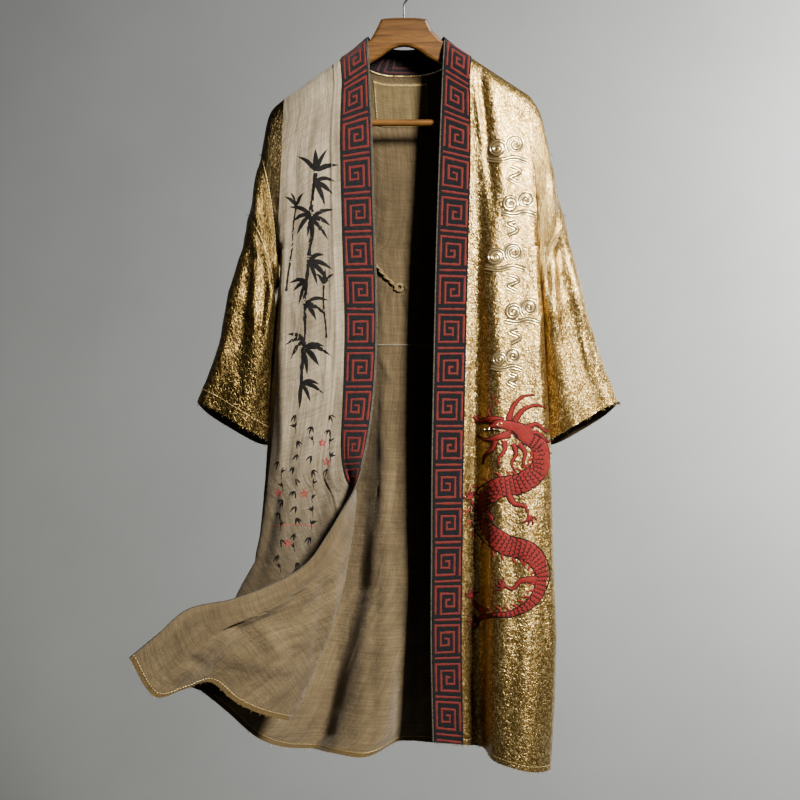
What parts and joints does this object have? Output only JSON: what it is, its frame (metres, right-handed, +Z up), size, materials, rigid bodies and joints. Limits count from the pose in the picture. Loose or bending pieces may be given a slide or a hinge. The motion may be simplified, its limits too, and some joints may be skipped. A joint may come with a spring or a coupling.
{
  "type": "long kimono robe on a wooden hanger",
  "caption": "Long open-front kimono robe with a patterned front band, wide sleeves and a lower front blown back, hung on a contoured wooden hanger with a bar and a wire hook.",
  "frame": {"origin": "inside top of the hook's crook, where a rail bears", "axes": "+Z up along the hook's stem, +X towards the viewer's right (the wearer's left), -Y out of the open front towards the viewer"},
  "size_m": [0.8329, 0.2309, 1.383],
  "materials": {
    "linen": "washed slubby linen",
    "lining": "unbleached open linen",
    "gold": "crinkled metallic lame",
    "band": "dark woven band with a raised red fret",
    "patch": "linen patch with a plain stitched border",
    "cord": "twisted linen cord",
    "wood": "satin varnished beech",
    "steel": "polished steel wire"
  },
  "bodies": {
    "root": {"front_right": "linen", "front_left": "gold", "band_right": "band", "band_left": "band", "back_upper": "lining", "back_lower": "lining", "collar_back": "band", "neck_patch": "patch", "inner_tie": "cord", "inner_tie_knot": "cord", "sleeve_right_cap": "gold", "sleeve_right_upper": "gold", "sleeve_right_lower": "gold", "sleeve_left_cap": "gold", "sleeve_left_upper": "gold", "sleeve_left_lower": "gold", "hanger_arms": "wood", "hanger_bar": "wood", "hanger_hook": "steel"}
  },
  "joints": []
}
